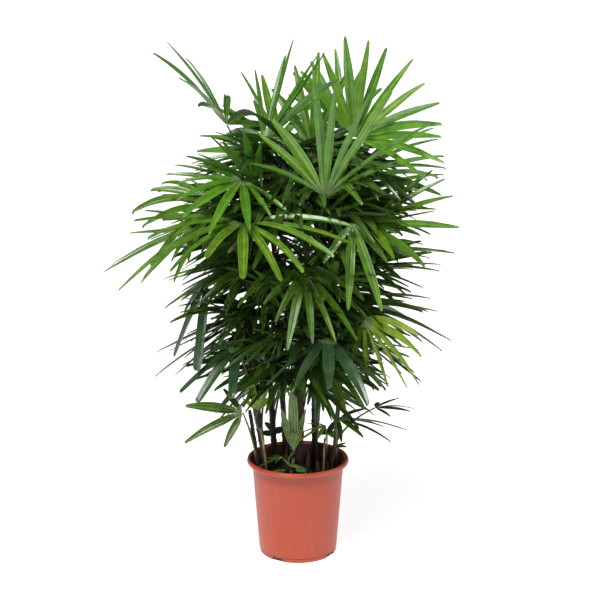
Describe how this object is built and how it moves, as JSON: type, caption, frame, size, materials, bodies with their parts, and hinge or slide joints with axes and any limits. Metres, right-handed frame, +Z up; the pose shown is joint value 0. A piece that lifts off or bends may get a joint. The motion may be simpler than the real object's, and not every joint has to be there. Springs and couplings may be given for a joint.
{
  "type": "potted lady palm",
  "caption": "Bushy lady palm in a round nursery pot: a clump of thin fibrous canes carries fans of narrow leaflets. It stands freely on the pot's flat base.",
  "frame": {"origin": "middle of the pot's flat underside, at floor level", "axes": "+Z up, -Y the plant's front, +X to the right seen from the front"},
  "size_m": [0.8206, 0.8977, 1.2032],
  "materials": {
    "pot": "satin",
    "soil": "matte",
    "cane_fibre": "matte",
    "cane_reed": "satin",
    "cane_shoot": "satin",
    "leaf_bright": "satin",
    "leaf_mid": "satin",
    "leaf_dark": "satin",
    "leaf_blue": "satin",
    "leaf_young": "satin"
  },
  "bodies": {
    "root": {"cane_backLeft": "cane_fibre", "cane_backRight": "cane_reed", "cane_edge": "cane_fibre", "cane_inner": "cane_fibre", "cane_left": "cane_fibre", "cane_main": "cane_fibre", "cane_right": "cane_reed", "cane_shade": "cane_fibre", "cane_shootFront": "cane_shoot", "cane_shootLeft": "cane_shoot", "cane_shootRight": "cane_shoot", "cane_tall": "cane_fibre", "frond_01": "leaf_bright", "frond_02": "leaf_bright", "frond_03": "leaf_bright", "frond_04": "leaf_bright", "frond_05": "leaf_bright", "frond_06": "leaf_bright", "frond_07": "leaf_mid", "frond_08": "leaf_mid", "frond_09": "leaf_mid", "frond_10": "leaf_dark", "frond_11": "leaf_young", "frond_12": "leaf_blue", "frond_13": "leaf_mid", "frond_14": "leaf_mid", "frond_15": "leaf_mid", "frond_16": "leaf_bright", "frond_17": "leaf_mid", "frond_18": "leaf_dark", "frond_19": "leaf_blue", "frond_20": "leaf_blue", "frond_21": "leaf_dark", "frond_22": "leaf_dark", "frond_23": "leaf_young", "frond_24": "leaf_dark", "frond_25": "leaf_young", "frond_26": "leaf_dark", "frond_27": "leaf_dark", "frond_28": "leaf_dark", "frond_29": "leaf_mid", "frond_30": "leaf_mid", "frond_31": "leaf_mid", "frond_32": "leaf_dark", "frond_33": "leaf_dark", "frond_34": "leaf_dark", "frond_35": "leaf_dark", "frond_36": "leaf_dark", "frond_37": "leaf_dark", "frond_38": "leaf_mid", "frond_39": "leaf_mid", "frond_40": "leaf_mid", "frond_41": "leaf_mid", "frond_42": "leaf_mid", "frond_43": "leaf_mid", "frond_44": "leaf_bright", "frond_45": "leaf_bright", "frond_46": "leaf_bright", "pot": "pot", "soil": "soil"}
  },
  "joints": []
}
